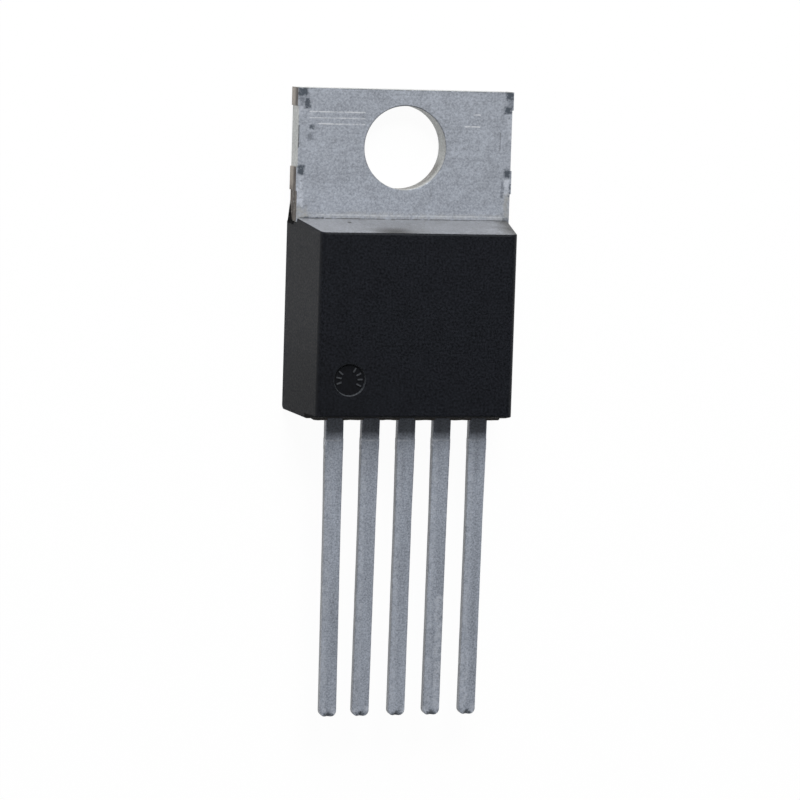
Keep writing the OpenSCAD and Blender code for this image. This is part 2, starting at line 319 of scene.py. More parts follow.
class NodeSheet:
    """One shader tree, with short ways to place and join its nodes."""

    def __init__(self, tree: bpy.types.NodeTree) -> None:
        """Takes the tree that it works on."""
        self.tree = tree

    def add(self, kind: str, inputs: Mapping[str | int, object] | None = None,
            **settings: object) -> bpy.types.Node:
        """Places a node.

        Args:
            kind: The node's type, without the leading ShaderNode.
            inputs: What goes into its sockets: a socket to join, or a value.
            **settings: The node's own properties.

        Returns:
            The node.
        """
        node = self.tree.nodes.new("ShaderNode" + kind)
        for name, value in settings.items():
            setattr(node, name, value)
        for name, value in (inputs or {}).items():
            self.feed(node.inputs[name], value)
        return node

    def feed(self, target: Socket, value: object) -> None:
        """Joins a socket to another, or sets its value.

        Args:
            target: The socket that is fed.
            value: A socket or a value.
        """
        if isinstance(value, Socket):
            self.tree.links.new(value, target)
        else:
            target.default_value = value

    def math(self, operation: str, a: object, b: object = 0.0) -> Socket:
        """Places one step of arithmetic and returns its result."""
        return self.add("Math", {0: a, 1: b}, operation=operation).outputs[0]

    def vector(self, operation: str, a: object, b: object = (0.0, 0.0, 0.0)) -> Socket:
        """Places one step of vector arithmetic and returns its result."""
        return self.add("VectorMath", {0: a, 1: b}, operation=operation).outputs[0]

    def scaled(self, vector: object, factor: object) -> Socket:
        """Scales a vector or a colour."""
        return self.add("VectorMath", {0: vector, "Scale": factor}, operation="SCALE").outputs[0]

    def split(self, vector: Socket) -> bpy.types.NodeOutputs:
        """Takes a vector apart into its X, Y and Z."""
        return self.add("SeparateXYZ", {0: vector}).outputs

    def mix(self, factor: object, a: object, b: object) -> Socket:
        """Blends colour a into colour b."""
        return self.add("Mix", {0: factor, 6: a, 7: b}, data_type="RGBA").outputs[2]

    def ramp(self, value: object, low: float, high: float, to_low: float = 0.0,
             to_high: float = 1.0) -> Socket:
        """Maps a value smoothly from one range to another.

        Args:
            value: The value.
            low: The start of its range.
            high: The end of its range.
            to_low: What the start becomes.
            to_high: What the end becomes.

        Returns:
            The mapped value.
        """
        spans = {"Value": value, "From Min": low, "From Max": high,
                 "To Min": to_low, "To Max": to_high}
        return self.add("MapRange", spans, interpolation_type="SMOOTHSTEP").outputs[0]

    def noise(self, position: Socket, scale: object, detail: float = 2.0,
              roughness: float = 0.5) -> bpy.types.NodeOutputs:
        """Places a noise pattern.

        Args:
            position: The place on the part, in millimetres.
            scale: How many waves it has in a millimetre.
            detail: How many finer layers it has.
            roughness: How strong they are.

        Returns:
            Its outputs.
        """
        inputs = {"Vector": position, "Scale": scale, "Detail": detail, "Roughness": roughness}
        return self.add("TexNoise", inputs).outputs

    def group(self, tree: bpy.types.NodeTree, **inputs: object) -> bpy.types.NodeOutputs:
        """Places a shared effect.

        Args:
            tree: The effect's node group.
            **inputs: What goes into its sockets, named with underscores for spaces.

        Returns:
            Its outputs.
        """
        node = self.tree.nodes.new("ShaderNodeGroup")
        node.node_tree = tree
        for name, value in inputs.items():
            self.feed(node.inputs[name.replace("_", " ").title()], value)
        return node.outputs


def opaque(colour: Colour) -> tuple[float, float, float, float]:
    """A colour with full alpha, as sockets want it."""
    return (*colour, 1.0)


# Shared effects

Effect = tuple[bpy.types.NodeTree, NodeSheet, bpy.types.NodeInputs, bpy.types.NodeOutputs]

ORIGIN = (0.0, 0.0, 0.0)
WHITE = (1.0, 1.0, 1.0)

# The Map Range node's sockets for vectors: from low, from high, to low and to high

VECTOR_RANGE = (7, 8, 9, 10)


def shared_effect(name: str, inputs: Mapping[str, tuple[str, object]],
                  outputs: Mapping[str, str]) -> Effect:
    """Starts a node group that several finishes use.

    Args:
        name: The group's name.
        inputs: Each input's kind and value, by name.
        outputs: Each output's kind, by name.

    Returns:
        The group, its sheet, its input node's outputs and its output node's inputs.
    """
    tree = bpy.data.node_groups.new(name, "ShaderNodeTree")
    for socket, (kind, value) in inputs.items():
        made = tree.interface.new_socket(socket, in_out="INPUT", socket_type="NodeSocket" + kind)
        made.default_value = value
    for socket, kind in outputs.items():
        tree.interface.new_socket(socket, in_out="OUTPUT", socket_type="NodeSocket" + kind)
    start = tree.nodes.new("NodeGroupInput")
    end = tree.nodes.new("NodeGroupOutput")
    return tree, NodeSheet(tree), start.outputs, end.inputs


class Effects:
    """The effects that more than one finish uses, each built once."""

    def __init__(self) -> None:
        """Builds every effect."""
        self.place = self.build_place()
        self.grain = self.build_grain()
        self.patch = self.build_patch()
        self.ragged = self.build_ragged()

    @staticmethod
    def build_place() -> bpy.types.NodeTree:
        """Position on the part in millimetres, the same from every side.

        Returns:
            The group.
        """
        tree, sheet, _, out = shared_effect("place_on_part", {}, {"Position": "Vector"})
        coordinates = sheet.add("TexCoord").outputs["Object"]
        sheet.feed(out["Position"], sheet.scaled(coordinates, PER_METRE))
        return tree

    @staticmethod
    def build_grain() -> bpy.types.NodeTree:
        """Mottled tone of a matte surface: fine grain, broader clouds and drawn-out lines.

        Returns:
            The group: a tone round zero, and a height.
        """
        tree, sheet, given, out = shared_effect(
            "surface_grain",
            {"Position": ("Vector", ORIGIN), "Grain Scale": ("Float", 9.0), "Grain": ("Float", 1.0),
             "Clouds": ("Float", 0.3), "Lines": ("Float", 0.2),
             "Line Scale": ("Vector", (0.35, 9.0, 9.0))},
            {"Tone": "Float", "Height": "Float"},
        )
        place = given["Position"]
        fine = sheet.noise(place, given["Grain Scale"], detail=4.0, roughness=0.75)["Fac"]
        clouds = sheet.noise(place, scale=1.3, detail=4.0, roughness=0.6)["Fac"]
        stretched = sheet.vector("MULTIPLY", place, given["Line Scale"])
        lines = sheet.noise(stretched, scale=1.0)["Fac"]
        tone = 0.0
        for pattern, share in ((fine, "Grain"), (clouds, "Clouds"), (lines, "Lines")):
            centred = sheet.math("SUBTRACT", pattern, 0.5)
            tone = sheet.math("ADD", sheet.math("MULTIPLY", centred, given[share]), tone)
        sheet.feed(out["Tone"], tone)
        sheet.feed(out["Height"], fine)
        return tree

    @staticmethod
    def build_patch() -> bpy.types.NodeTree:
        """A soft-edged block in space, for stains, scratches, worn places and painted light and shade.

        Returns:
            The group: a mask that is one inside the block.
        """
        tree, sheet, given, out = shared_effect(
            "soft_patch",
            {"Position": ("Vector", ORIGIN), "Centre": ("Vector", ORIGIN),
             "Half Size": ("Vector", WHITE), "Softness": ("Float", 0.1)},
            {"Mask": "Float"},
        )
        offset = sheet.vector("SUBTRACT", given["Position"], given["Centre"])
        beyond = sheet.vector("SUBTRACT", sheet.vector("ABSOLUTE", offset), given["Half Size"])
        fade = sheet.add("CombineXYZ", {n: given["Softness"] for n in range(3)}).outputs[0]
        spans = zip(VECTOR_RANGE, (ORIGIN, fade, WHITE, ORIGIN))
        mapped = sheet.add("MapRange", {"Vector": beyond, **dict(spans)}, data_type="FLOAT_VECTOR",
                           interpolation_type="SMOOTHSTEP").outputs["Vector"]
        across, along, deep = sheet.split(mapped)
        flat = sheet.math("MULTIPLY", across, along)
        sheet.feed(out["Mask"], sheet.math("MULTIPLY", flat, deep))
        return tree

    @staticmethod
    def build_ragged() -> bpy.types.NodeTree:
        """Position shaken by noise, so that a patch placed with it has ragged edges.

        Returns:
            The group.
        """
        tree, sheet, given, out = shared_effect(
            "ragged_place",
            {"Position": ("Vector", ORIGIN), "Amount": ("Float", 0.2), "Scale": ("Float", 5.0)},
            {"Position": "Vector"},
        )
        shake = sheet.noise(given["Position"], given["Scale"], detail=3.0, roughness=0.7)["Color"]
        centred = sheet.vector("SUBTRACT", shake, (0.5, 0.5, 0.5))
        pushed = sheet.scaled(centred, given["Amount"])
        sheet.feed(out["Position"], sheet.vector("ADD", given["Position"], pushed))
        return tree


@dataclass(frozen=True)
class Patch:
    """A stain, scratch, worn place, painted highlight or painted shade on a finish, in millimetres."""

    centre: Place
    half_size: Place
    softness: float
    strength: float = 1.0

    def mask(self, sheet: NodeSheet, effects: Effects, position: Socket) -> Socket:
        """Places the patch in a finish.

        Args:
            sheet: The finish's sheet.
            effects: The shared effects.
            position: The place on the part, ragged or plain.

        Returns:
            Its mask.
        """
        made = sheet.group(effects.patch, position=position, centre=self.centre,
                           half_size=self.half_size, softness=self.softness)
        return sheet.math("MULTIPLY", made["Mask"], self.strength)


def on_face(level: float, depth: float, rows: Iterable[tuple[float, ...]]) -> tuple[Patch, ...]:
    """Patches on a flat face.

    Args:
        level: The face's Z.
        depth: How far they reach above and below it.
        rows: X, Y, half width, half height, softness and strength of each.

    Returns:
        The patches.
    """
    return tuple(Patch((x, y, level), (width, height, depth), softness, strength)
                 for x, y, width, height, softness, strength in rows)


def gathered(sheet: NodeSheet, effects: Effects, position: Socket,
             patches: Iterable[Patch]) -> Socket | float:
    """Joins several patches into one mask, the strongest winning.

    Args:
        sheet: The finish's sheet.
        effects: The shared effects.
        position: The place on the part, ragged or plain.
        patches: The patches.

    Returns:
        The mask, or zero if there are no patches.
    """
    total: Socket | float = 0.0
    for patch in patches:
        total = sheet.math("MAXIMUM", total, patch.mask(sheet, effects, position))
    return total


class Finish:
    """A material with one Principled shader and a bump."""

    name = "finish"

    def __init__(self, effects: Effects) -> None:
        """Starts the material.

        Args:
            effects: The shared effects.
        """
        self.effects = effects
        self.material = bpy.data.materials.new(self.name)
        self.material.use_nodes = True
        tree = self.material.node_tree
        tree.nodes.clear()
        self.sheet = NodeSheet(tree)
        self.shader = self.sheet.add("BsdfPrincipled")
        self.sheet.add("OutputMaterial", {"Surface": self.shader.outputs[0]})
        self.position = self.sheet.group(effects.place)["Position"]

    def set(self, **inputs: object) -> None:
        """Feeds the shader's sockets.

        Args:
            **inputs: A socket or a value for each, named with underscores for spaces.
        """
        names = {socket.name.lower(): socket for socket in self.shader.inputs}
        for name, value in inputs.items():
            self.sheet.feed(names[name.replace("_", " ")], value)

    def bump(self, height: Socket, depth: float, strength: float) -> None:
        """Roughens the surface.

        Args:
            height: The pattern.
            depth: Its depth in millimetres.
            strength: How much of it shows.
        """
        made = self.sheet.add("Bump", {"Height": height, "Distance": depth * METRES,
                                       "Strength": strength})
        self.set(normal=made.outputs[0])

    def ragged(self, amount: float, scale: float) -> Socket:
        """The place on the part, shaken by noise."""
        return self.sheet.group(self.effects.ragged, position=self.position, amount=amount,
                                scale=scale)["Position"]


# Plated copper

# How far up or down a surface faces where it still is a side, and where it is a front or a back

SIDE_LEAN = 0.35
FACE_LEAN = 0.75

# Colours that show through the plating or lie on it, and the painted shade of the hole's wall and rim

HOLE_WALL_SHADE = (0.19, 0.185, 0.175)
RIM_SHADE = (0.09, 0.095, 0.10)
COPPER_TAN = (0.335, 0.300, 0.265)
COPPER_BROWN = (0.036, 0.025, 0.020)


@dataclass(frozen=True)
class Tin:
    """Look of matte tin plating on copper."""

    name: str
    colour: Colour
    side_painted_shading: Colour
    contrast: float
    grain_scale: float
    clouds: float
    lines: float
    line_scale: Place
    grain: float = 1.0
    metal: float = 0.45
    roughness: float = 0.55
    rough_share: float = 0.12
    bare_rough: float = 0.12
    bump_depth: float = 0.012
    bump_strength: float = 0.35


# The side colours are painted light and shade: lighter on the tab's sides, which face the light, and
# darker on the leads' sides, which their neighbours shade
TAB_TIN = Tin("tinned_header", colour=(0.325, 0.350, 0.396), side_painted_shading=(0.455, 0.468, 0.462),
              contrast=1.75, grain_scale=10.5, clouds=0.25, lines=0.15, line_scale=(0.35, 9.0, 9.0))
LEAD_TIN = Tin("tinned_lead", colour=(0.305, 0.334, 0.388), side_painted_shading=(0.245, 0.256, 0.275),
               contrast=2.4, grain_scale=12.0, clouds=0.10, lines=0.24, line_scale=(3.2, 0.22, 3.2))


@dataclass(frozen=True)
class Rim:
    """A dark ring of painted shade round a hole along Z, at a front face, where its rolled edge turns
    from the light.
    """

    radius: float
    width: float
    level: float
    strength: float

    def mask(self, sheet: NodeSheet, position: Socket) -> Socket:
        """Places the ring round the part's origin.

        Args:
            sheet: The finish's sheet.
            position: The place on the part.

        Returns:
            Its mask.
        """
        flat = sheet.vector("MULTIPLY", position, (1.0, 1.0, 0.0))
        reach = sheet.add("VectorMath", {0: flat}, operation="LENGTH").outputs["Value"]
        off = sheet.math("ABSOLUTE", sheet.math("SUBTRACT", reach, self.radius))
        ring = sheet.ramp(off, self.width / 2, self.width, self.strength, 0.0)
        high = sheet.ramp(sheet.split(position)["Z"], self.level - 2 * self.width,
                          self.level - self.width)
        return sheet.math("MULTIPLY", ring, high)


@dataclass(frozen=True)
class MarkLook:
    """How a kind of mark lies on the plating: its tint, and the noise that breaks it up."""

    tint: Colour
    thin_at: float
    full_at: float
    least: float = 0.0
    drawn: bool = False


class Mark(Enum):
    """Kinds of mark on the plated faces, in the order in which they are laid."""

    GRIME = MarkLook((0.33, 0.325, 0.30), thin_at=0.32, full_at=0.62)
    # Scuffs, and painted highlights on the leads' fronts and tip corners
    SCUFF_AND_HIGHLIGHT = MarkLook((0.56, 0.59, 0.65), thin_at=0.62, full_at=0.40)
    STREAK = MarkLook((0.58, 0.60, 0.63), thin_at=0.30, full_at=0.58, drawn=True)
    # Smears, and painted shade in the dents at the leads' tips
    SMEAR = MarkLook((0.072, 0.086, 0.106), thin_at=0.28, full_at=0.54, least=0.75)
    LINE = MarkLook((0.085, 0.090, 0.095), thin_at=0.30, full_at=0.50, least=0.35, drawn=True)


@dataclass(frozen=True)
class Marks:
    """Marks on a plated piece: on its faces by kind, bare copper and painted shade on its sides, and
    painted shade round its hole.
    """

    faces: Mapping[Mark, Sequence[Patch]]
    wall_shade: Sequence[Patch] = ()
    copper: Sequence[Patch] = ()
    rims: Sequence[Rim] = ()


class TinFinish(Finish):
    """Tin plating with its mottling, marks, painted side shading and bare copper."""

    def __init__(self, effects: Effects, tin: Tin, marks: Marks) -> None:
        """Builds the finish.

        Args:
            effects: The shared effects.
            tin: The plating's look.
            marks: Its marks.
        """
        self.name = tin.name
        super().__init__(effects)
        sheet = self.sheet
        grain = sheet.group(effects.grain, position=self.position, grain_scale=tin.grain_scale,
                            grain=tin.grain, clouds=tin.clouds, lines=tin.lines,
                            line_scale=tin.line_scale)
        level = sheet.split(sheet.add("NewGeometry").outputs["Normal"])["Z"]
        self.side = sheet.ramp(sheet.math("ABSOLUTE", level), SIDE_LEAN, FACE_LEAN, 1.0, 0.0)
        # Side faces take the painted side shading in place of the plating's own colour
        plain = sheet.mix(self.side, opaque(tin.colour), opaque(tin.side_painted_shading))
        shade = sheet.math("ADD", sheet.math("MULTIPLY", grain["Tone"], tin.contrast), 1.0)
        colour = self.marked(sheet.scaled(plain, shade), marks)
        places = gathered(sheet, effects, self.ragged(amount=0.10, scale=5.0), marks.copper)
        bare = sheet.math("MULTIPLY", self.side, places)
        colour = sheet.mix(bare, colour, self.copper())
        rough = sheet.math("MULTIPLY", grain["Tone"], tin.rough_share)
        rough = sheet.math("ADD", rough, tin.roughness)
        rough = sheet.math("ADD", rough, sheet.math("MULTIPLY", bare, tin.bare_rough))
        self.set(base_color=colour, metallic=tin.metal, roughness=rough)
        self.bump(grain["Height"], tin.bump_depth, tin.bump_strength)

    def marked(self, colour: Socket, marks: Marks) -> Socket:
        """Lays the marks over the plating, with their painted highlights and painted shade.

        Args:
            colour: The plating's colour.
            marks: The marks.

        Returns:
            The colour with its marks.
        """
        sheet = self.sheet
        shaken = self.ragged(amount=0.34, scale=3.2)
        drawn = self.ragged(amount=0.04, scale=4.0)
        coarse = sheet.noise(self.position, scale=3.4, detail=4.0, roughness=0.75)["Fac"]
        fine = sheet.noise(self.position, scale=9.0)["Fac"]
        crumbs = sheet.ramp(fine, low=0.25, high=0.55, to_low=0.35)
        for kind in Mark:
            look = kind.value
            place = drawn if look.drawn else shaken
            mask = gathered(sheet, self.effects, place, marks.faces.get(kind, ()))
            breaks = sheet.ramp(coarse, look.thin_at, look.full_at, look.least)
            mask = sheet.math("MULTIPLY", sheet.math("MULTIPLY", mask, breaks), crumbs)
            colour = sheet.mix(mask, colour, opaque(look.tint))
        # Painted shade on the hole's lower wall
        wall_shade = sheet.math("MULTIPLY", self.side, gathered(sheet, self.effects, shaken, marks.wall_shade))
        colour = sheet.mix(sheet.math("MULTIPLY", wall_shade, crumbs), colour, opaque(HOLE_WALL_SHADE))
        # Painted shade round the hole's rolled rim
        for rim in marks.rims:
            breaks = sheet.ramp(coarse, low=0.35, high=0.6)
            worn = sheet.math("MULTIPLY", rim.mask(sheet, self.position), breaks)
            colour = sheet.mix(worn, colour, opaque(RIM_SHADE))
        return colour

    def copper(self) -> Socket:
        """Sheared copper, tan towards the back and dark brown towards the front and the mould.

        Returns:
            Its colour.
        """
        sheet = self.sheet
        place = sheet.split(self.ragged(amount=0.15, scale=3.0))
        front = sheet.ramp(place["Z"], low=0.45, high=0.95)
        low = sheet.ramp(place["Y"], low=-2.3, high=-1.5, to_low=1.0, to_high=0.0)
        stretched = sheet.vector("MULTIPLY", self.position, (5.0, 2.0, 5.0))
        streaks = sheet.noise(stretched, scale=1.0, detail=4.0, roughness=0.7)["Fac"]
        worn = sheet.ramp(streaks, low=0.33, high=0.62, to_low=0.6)
        dark = sheet.math("MULTIPLY", sheet.math("MAXIMUM", front, low), worn)
        return sheet.mix(dark, opaque(COPPER_TAN), opaque(COPPER_BROWN))


# Mould compound


@dataclass(frozen=True)
class Epoxy:
    """Look of one part of the mould's surface."""

    name: str
    base: Colour
    speck: Colour
    roughness: float
    specular: float
    sheen: float = 0.0
    bump_strength: float = 0.25
    sheen_roughness: float = 0.3
    grain_scale: float = 10.0
    clouds: float = 0.15
    rough_spread: float = 0.12
    darkened_share: float = 0.35
    dull_rough: float = 0.35
    bump_depth: float = 0.008


MOULD_PLAIN = Epoxy("mould_epoxy", base=(0.0010, 0.0014, 0.0025), speck=(0.0122, 0.0139, 0.0190),
                    roughness=0.55, specular=0.13, bump_strength=0.5)
# The top face's light grey specks are a painted highlight for the light that it catches at a grazing
# angle; the shader's sheen adds to it
MOULD_TOP = Epoxy("top_epoxy_painted_highlight", base=(0.0, 0.0, 0.001), speck=(0.285, 0.300, 0.335),
                  roughness=0.42, specular=0.5, sheen=0.69, bump_strength=0.7)
MOULD_TICK = Epoxy("raised_epoxy", base=(0.022, 0.024, 0.028), speck=(0.062, 0.066, 0.074),
                   roughness=0.5, specular=0.3)
MOULD_FLASH = Epoxy("flash_epoxy", base=(0.13, 0.12, 0.115), speck=(0.26, 0.25, 0.24),
                    roughness=0.6, specular=0.2)


class EpoxyFinish(Finish):
    """Mould compound with its filler showing as fine specks."""

    def __init__(self, effects: Effects, look: Epoxy, dull: Sequence[Patch] = ()) -> None:
        """Builds the finish.

        Args:
            effects: The shared effects.
            look: The surface's look.
            dull: Places made darker and rougher; most of the darkening is painted shade.
        """
        self.name = look.name
        super().__init__(effects)
        sheet = self.sheet
        grain = sheet.group(effects.grain, position=self.position, grain_scale=look.grain_scale,
                            grain=1.0, clouds=look.clouds, lines=0.0)
        speckled = sheet.ramp(grain["Tone"], low=-0.20, high=0.22)
        colour = sheet.mix(speckled, opaque(look.base), opaque(look.speck))
        # The dull places are darkened, mostly as painted shade, and made rougher
        darker = gathered(sheet, effects, self.ragged(amount=0.12, scale=4.0), dull)
        colour = sheet.mix(darker, colour, opaque(tuple(look.darkened_share * part for part in look.base)))
        rough = sheet.ramp(grain["Height"], 0.3, 0.7, look.roughness - look.rough_spread,
                           look.roughness + look.rough_spread)
        rough = sheet.math("ADD", rough, sheet.math("MULTIPLY", darker, look.dull_rough))
        self.set(base_color=colour, roughness=rough, specular_ior_level=look.specular,
                 sheen_weight=look.sheen, sheen_roughness=look.sheen_roughness)
        self.bump(grain["Height"], look.bump_depth, look.bump_strength)


# Sealed pieces


class SolderFinish(Finish):
    """Soft solder under the chip, grey and frosted."""

    name = "soft_solder"
    dull: Colour = (0.30, 0.30, 0.32)
    bright: Colour = (0.52, 0.52, 0.54)

    def __init__(self, effects: Effects) -> None:
        """Builds the finish.

        Args:
            effects: The shared effects.
        """
        super().__init__(effects)
        sheet = self.sheet
        frost = sheet.noise(self.position, scale=14.0, detail=4.0, roughness=0.6)["Fac"]
        colour = sheet.mix(sheet.ramp(frost, 0.35, 0.7), opaque(self.dull), opaque(self.bright))
        self.set(base_color=colour, metallic=1.0, roughness=sheet.ramp(frost, 0.3, 0.7, 0.35, 0.55))
        self.bump(frost, depth=0.01, strength=0.3)


class ChipFinish(Finish):
    """Silicon with aluminium tracks in a plain grid."""

    name = "silicon_die"
    blue: Colour = (0.10, 0.11, 0.16)
    violet: Colour = (0.16, 0.14, 0.20)
    track: Colour = (0.62, 0.62, 0.66)

    def __init__(self, effects: Effects) -> None:
        """Builds the finish.

        Args:
            effects: The shared effects.
        """
        super().__init__(effects)
        sheet = self.sheet
        cells = sheet.add("TexBrick", {
            "Vector": self.position, "Color1": opaque(self.blue), "Color2": opaque(self.violet),
            "Mortar": opaque(self.track), "Scale": 2.4, "Mortar Size": 0.03, "Brick Width": 0.5,
            "Row Height": 0.25}).outputs
        sheen = sheet.noise(self.position, scale=1.5)["Fac"]
        rough = sheet.ramp(sheen, 0.3, 0.7, 0.14, 0.3)
        self.set(base_color=cells["Color"], metallic=0.6, roughness=rough)
        self.bump(cells["Fac"], depth=0.004, strength=0.3)


class WireFinish(Finish):
    """Drawn aluminium bond wire."""

    name = "bond_aluminium"
    dull: Colour = (0.66, 0.66, 0.68)
    bright: Colour = (0.86, 0.86, 0.88)

    def __init__(self, effects: Effects) -> None:
        """Builds the finish.

        Args:
            effects: The shared effects.
        """
        super().__init__(effects)
        sheet = self.sheet
        stretched = sheet.vector("MULTIPLY", self.position, (30.0, 2.0, 2.0))
        drawn = sheet.noise(stretched, scale=1.0, detail=3.0)["Fac"]
        colour = sheet.mix(drawn, opaque(self.dull), opaque(self.bright))
        self.set(base_color=colour, metallic=1.0, roughness=sheet.ramp(drawn, 0.3, 0.7, 0.22, 0.38))
        self.bump(drawn, depth=0.003, strength=0.3)


# Leads


@dataclass
class LeadShape:
    """Sizes that the five leads share, in millimetres.

    The drifts are how far each lead is off its place at the body, and how much further at its tip.
    """

    thickness: float
    back_z: float
    body_bottom_y: float
    tip_y: float
    spacing: float
    width: float = 0.80
    root_width: float = 0.845
    root_length: float = 2.1
    taper_length: float = 2.4
    dam_drop: float = 0.95
    dam_height: float = 0.52
    dam_proud: float = 0.01
    tip_radius: float = 0.28
    notch_width: float = 0.56
    notch_length: float = 0.25
    notch_depth: float = 0.22
    front_roll: float = 0.075
    back_roll: float = 0.03
    step: float = 0.22
    wander: float = 0.006
    wander_waves: float = 0.9
    wander_apart: float = 7.3
    roll_limit: float = 0.9
    root_drift: tuple[float, ...] = (0.02, 0.035, 0.03, 0.015, 0.045)
    tip_drift: tuple[float, ...] = (0.07, -0.10, -0.083, -0.10, -0.105)

    @property
    def front_z(self) -> float:
        """Height of the leads' front faces."""
        return self.back_z + self.thickness

    @property
    def length(self) -> float:
        """Free length of the leads."""
        return self.body_bottom_y - self.tip_y

    def middle(self, number: int, y: float) -> float:
        """X of a lead's middle line, a little off its place and drifting sideways below the body.

        Args:
            number: The lead, counted from zero.
            y: The height along the lead.

        Returns:
            The middle line's X.
        """
        centre = (len(self.tip_drift) - 1) / 2
        free = max(0.0, self.body_bottom_y - y) / self.length
        drift = self.root_drift[number] + self.tip_drift[number] * free
        return (number - centre) * self.spacing + drift

    def half_width(self, y: float) -> float:
        """Half of a lead's width.

        Args:
            y: The height along the lead.

        Returns:
            The half width there: wider at the root and the dam bar, round at the tip.
        """
        drop = self.body_bottom_y - y
        root, free = self.root_width / 2, self.width / 2
        if self.dam_drop <= drop <= self.dam_drop + self.dam_height:
            return root + self.dam_proud
        share = (drop - self.root_length) / self.taper_length
        plain = root + (free - root) * min(1.0, max(0.0, share))
        left = self.tip_radius - (y - self.tip_y)
        if left > 0:
            plain -= self.tip_radius - math.sqrt(max(0.0, self.tip_radius**2 - left**2))
        return plain

    def heights(self) -> list[float]:
        """Heights of a lead's cross-sections.

        Returns:
            The heights, from the body down to the tip.
        """
        marks = [self.body_bottom_y]
        for drop in (self.dam_drop, self.dam_drop + self.dam_height):
            edge = self.body_bottom_y - drop
            marks += [edge + EDGE_GAP, edge - EDGE_GAP]
        marks += [self.body_bottom_y - self.root_length,
                  self.body_bottom_y - self.root_length - self.taper_length]
        round_start = self.tip_y + self.tip_radius
        count = int((marks[-1] - round_start) / self.step)
        marks += [marks[-1] + (round_start - marks[-1]) * k / count for k in range(1, count + 1)]
        for k in range(1, TIP_STEPS + 1):
            marks.append(self.tip_y + self.tip_radius * (1 - math.sin(math.pi / 2 * k / TIP_STEPS)))
        return marks

    def section(self, number: int, y: float, half: float, back: float, front: float) -> Loop:
        """One rounded cross-section of a lead.

        Args:
            number: The lead, counted from zero.
            y: The section's height along the lead.
            half: Half of its width.
            back: Z of its back.
            front: Z of its front.

        Returns:
            Its points, counted round the lead.
        """
        x = self.middle(number, y)
        if y <= self.body_bottom_y:
            shake = Vector((number * self.wander_apart, y * self.wander_waves, 0.0))
            x += self.wander * noise.noise(shake)
        points = []
        corners = ((1, front, self.front_roll, 90), (-1, front, self.front_roll, 180),
                   (-1, back, self.back_roll, 270), (1, back, self.back_roll, 360))
        for side, level, radius, last in corners:
            radius = min(radius, half * self.roll_limit)
            inward = -1 if level == front else 1
            for k in range(CORNER_STEPS + 1):
                turn = math.radians(last - 90 + 90 * k / CORNER_STEPS)
                points.append(Vector((
                    x + side * (half - radius) + radius * math.cos(turn),
                    y,
                    level + inward * radius + radius * math.sin(turn),
                )))
        return points

    def notch(self, number: int) -> bpy.types.Object:
        """The three-sided dent that the cut leaves in the front of a lead's tip.

        Args:
            number: The lead, counted from zero.

        Returns:
            The solid to cut out.
        """
        x = self.middle(number, self.tip_y)
        reach = PAST / self.notch_length
        bottom = self.tip_y - PAST
        spread = self.notch_width / 2 * (1 + reach)
        top = Vector((x, self.tip_y + self.notch_length, self.front_z))
        low = Vector((x, bottom, self.front_z - self.notch_depth * (1 + reach)))
        sides = [Vector((x + turn * spread, bottom, self.front_z)) for turn in (-1, 1)]
        lift = Vector((0.0, 0.0, PAST))
        bm = bmesh.new()
        front = [top, *sides]
        for corner in (*front, *(corner + lift for corner in front), low):
            bm.verts.new(corner)
        bmesh.ops.convex_hull(bm, input=bm.verts)
        return finished(bm, f"notch_{number}")

    def free_sections(self, number: int) -> list[Loop]:
        """The cross-sections of a lead's free length, down to its rolled tip.

        Args:
            number: The lead, counted from zero.

        Returns:
            The cross-sections.
        """
        loops = []
        for y in self.heights():
            left = max(0.0, self.front_roll - (y - self.tip_y))
            dip = self.front_roll - math.sqrt(self.front_roll**2 - left**2)
            loops.append(self.section(number, y, self.half_width(y), self.back_z, self.front_z - dip))
        return loops

    def marks(self) -> Marks:
        """Marks on the leads, placed from the photograph.

        Returns:
            Scraped dam bars, light strips on the fronts, painted highlights along the fronts' left edges
            and on the tip corners, and painted shade in the dent that the cut leaves at each tip.
        """
        # Rows hold X, Y, half width, half height, softness and strength
        numbers = range(len(self.tip_drift))
        roots = [self.middle(n, self.body_bottom_y) for n in numbers]
        tips = [self.middle(n, self.tip_y) for n in numbers]
        middles = [(root + tip) / 2 for root, tip in zip(roots, tips)]
        dam_y, face = self.body_bottom_y - self.dam_drop, self.front_z
        dam_ends = on_face(face - 0.09, 0.15, [(x - 0.41, dam_y - 0.17, 0.03, 0.14, 0.04, 0.9)
                                               for x in roots])
        # Painted highlights on the rounded tip corners
        corners = on_face(face, 0.2, [(x + 0.27 * side.value, self.tip_y + 0.27, 0.08, 0.16, 0.10, 0.5)
                                      for x in tips for side in Side])
        # A painted highlight along the left of each lead's front, then two light strips
        fronts = on_face(face, 0.1, [
            *((x - 0.27, -19.8, 0.08, 6.0, 0.14, 0.3) for x in middles),
            (tips[3] + 0.24, -23.3, 0.12, 2.6, 0.15, 0.5),
            (tips[4] - 0.20, -24.4, 0.14, 1.2, 0.15, 0.45),
        ])
        # Painted shade in the dent that the cut leaves at each tip
        cuts = on_face(face - 0.14, 0.135, [
            *((x, self.tip_y + 0.06, 0.20, 0.07, 0.06, 1.0) for x in tips),
            *((x, self.tip_y + 0.17, 0.06, 0.07, 0.08, 0.7) for x in tips),
        ])
        return Marks({
            Mark.STREAK: on_face(face, 0.1, [(0.0, dam_y - 0.07, 4.2, 0.010, 0.05, 0.45)]),
            Mark.SCUFF_AND_HIGHLIGHT: (*dam_ends, *corners, *fronts),
            Mark.SMEAR: cuts,
        })


